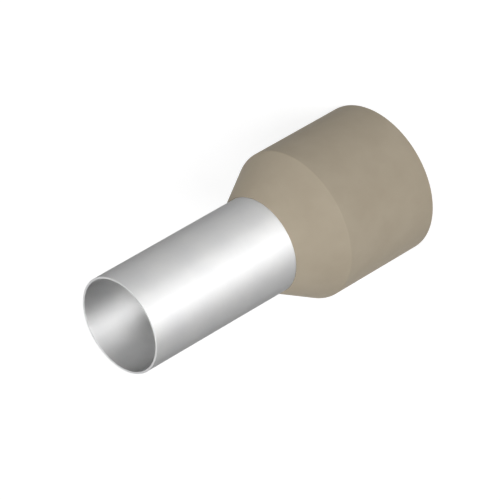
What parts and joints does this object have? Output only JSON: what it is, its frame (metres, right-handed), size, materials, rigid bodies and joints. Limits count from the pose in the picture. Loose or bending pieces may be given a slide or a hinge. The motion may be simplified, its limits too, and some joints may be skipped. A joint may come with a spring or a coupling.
{
  "type": "wire ferrule",
  "caption": "Insulated wire end ferrule: a thin tinned metal tube with a flared entry, held in a conical plastic collar that takes the insulation of a stranded wire.",
  "frame": {"origin": "centre of the collar's open rear rim, where the wire goes in and the ferrule stands", "axes": "+Z along the ferrule's axis, from the collar's rear rim to the mouth of the metal tube; X and Y are any two directions across it"},
  "size_m": [0.0136, 0.0134, 0.03],
  "materials": {
    "tinned_copper": "smooth satin tin plating on drawn copper",
    "collar_plastic": "matt moulded plastic, beige grey"
  },
  "bodies": {
    "root": {"metal_sleeve": "tinned_copper", "insulating_collar": "collar_plastic"}
  },
  "joints": []
}
